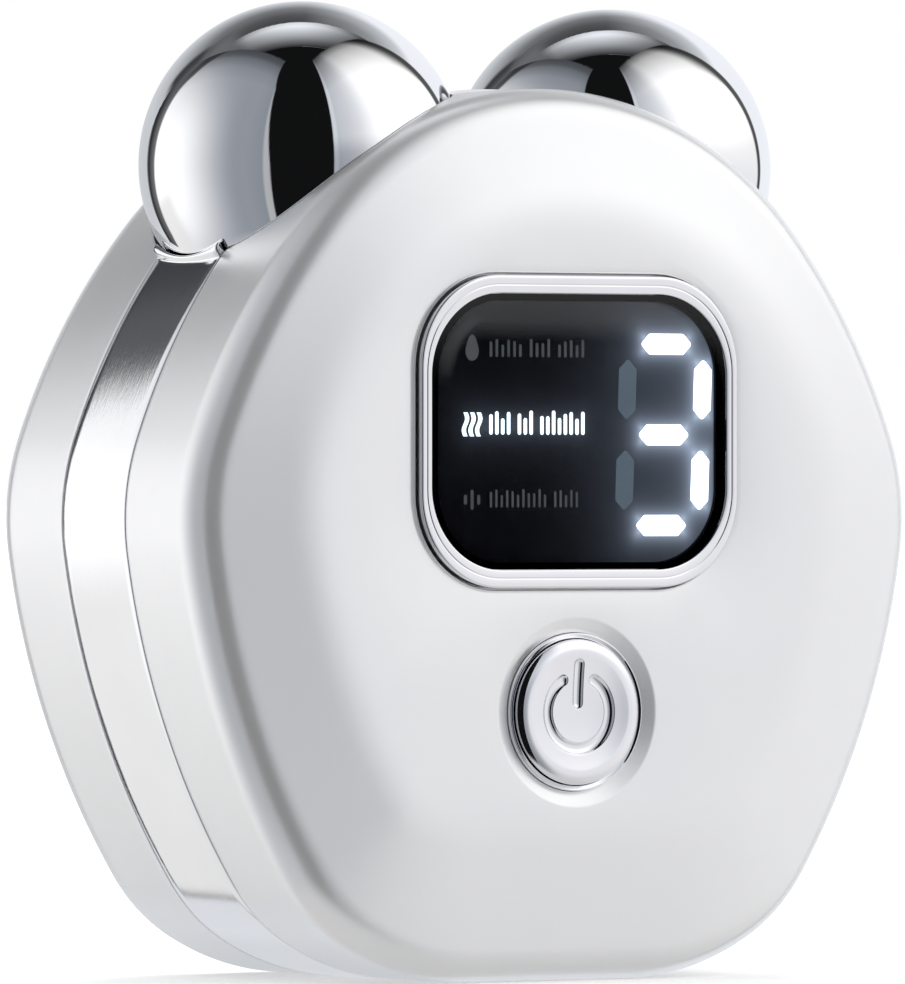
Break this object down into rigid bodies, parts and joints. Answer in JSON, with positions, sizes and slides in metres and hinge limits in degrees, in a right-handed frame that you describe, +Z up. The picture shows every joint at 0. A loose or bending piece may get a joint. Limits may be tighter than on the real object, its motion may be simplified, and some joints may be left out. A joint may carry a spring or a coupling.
{
  "type": "facial toning device",
  "caption": "Palm-size facial toner: pentagonal housing with a chromed band, turning chrome roller balls, a display and a push button.",
  "frame": {"origin": "centre of the flat base, in the middle plane of the chromed band", "axes": "+X to the right as the user faces the display, +Y to the back (display and button face -Y), +Z up towards the balls"},
  "size_m": [0.0616, 0.0322, 0.0702],
  "materials": {
    "white_shell": "pearl white, satin gloss",
    "chrome_band": "mirror plating on plastic",
    "chrome_ball": "mirror polished",
    "chrome_trim": "mirror plating on plastic",
    "chrome_button": "mirror plating on plastic",
    "inner_plastic": "moulded, unpainted",
    "hub_plastic": "moulded, unpainted",
    "steel": "turned",
    "brass": "stamped",
    "heater_ceramic": "fired, plain",
    "black_glass": "glossy, tinted black",
    "display_black": "smooth black",
    "digit_light": "lit from behind",
    "digit_dark": "unlit",
    "mode_light": "lit from behind, dim",
    "foam": "closed-cell foam",
    "board": "solder mask",
    "chip": "moulded",
    "coil": "wound, varnished",
    "capacitor": "drawn can",
    "battery_foil": "foil pouch",
    "socket_plastic": "moulded",
    "wire": "insulated wire"
  },
  "bodies": {
    "housing": {"front_shell": "white_shell", "rear_shell": "white_shell", "mid_band": "chrome_band", "top_bridge": "chrome_band", "roller_carrier": "inner_plastic", "display_bezel": "chrome_trim", "display_window": "black_glass", "window_gasket": "foam", "display_module": "display_black", "digit_lit": "digit_light", "digit_unlit": "digit_dark", "mode_marks": "mode_light", "display_board": "board", "display_pins": "brass", "button_ring": "chrome_trim", "switch_body": "chip", "main_board": "board", "controller_chip": "chip", "boost_coil": "coil", "capacitors": "capacitor", "battery_socket": "socket_plastic", "battery_cell": "battery_foil", "cell_board": "board", "cell_pad": "foam", "motor_can": "steel", "charge_board": "board", "usb_shell": "steel", "usb_tongue": "chip", "case_screws": "steel", "board_screws": "steel", "battery_leads": "wire", "electrode_wires": "wire", "motor_leads": "wire", "charge_leads": "wire", "ball_shaft_left": "steel", "contact_ring_left": "brass", "heater_ring_left": "heater_ceramic", "ball_shaft_right": "steel", "contact_ring_right": "brass", "heater_ring_right": "heater_ceramic"},
    "button": {"power_button": "chrome_button", "button_clip": "steel", "switch_plunger": "socket_plastic"},
    "motor_rotor": {"motor_shaft": "steel", "motor_weight": "steel"},
    "ball_left": {"roller_ball_left": "chrome_ball", "ball_hub_left": "hub_plastic", "lower_bush_left": "hub_plastic", "upper_bush_left": "hub_plastic", "snap_ring_left": "steel"},
    "ball_right": {"roller_ball_right": "chrome_ball", "ball_hub_right": "hub_plastic", "lower_bush_right": "hub_plastic", "upper_bush_right": "hub_plastic", "snap_ring_right": "steel"}
  },
  "joints": [
    {"name": "ball_left_spin", "type": "hinge", "parent": "housing", "child": "ball_left", "pos_m": [-0.0133, 0, 0.0585], "axis": [-0.5, 0, 0.866], "continuous": true},
    {"name": "ball_right_spin", "type": "hinge", "parent": "housing", "child": "ball_right", "pos_m": [0.0133, 0, 0.0585], "axis": [0.5, 0, 0.866], "continuous": true},
    {"name": "button_press", "type": "slide", "parent": "housing", "child": "button", "axis": [0, 1, 0], "range_m": [0, 0.00045], "stiffness_N_per_m": 400, "springref_m": -0.0005},
    {"name": "motor_spin", "type": "hinge", "parent": "housing", "child": "motor_rotor", "pos_m": [0, 0.002, 0.0076], "axis": [1, 0, 0], "continuous": true}
  ]
}
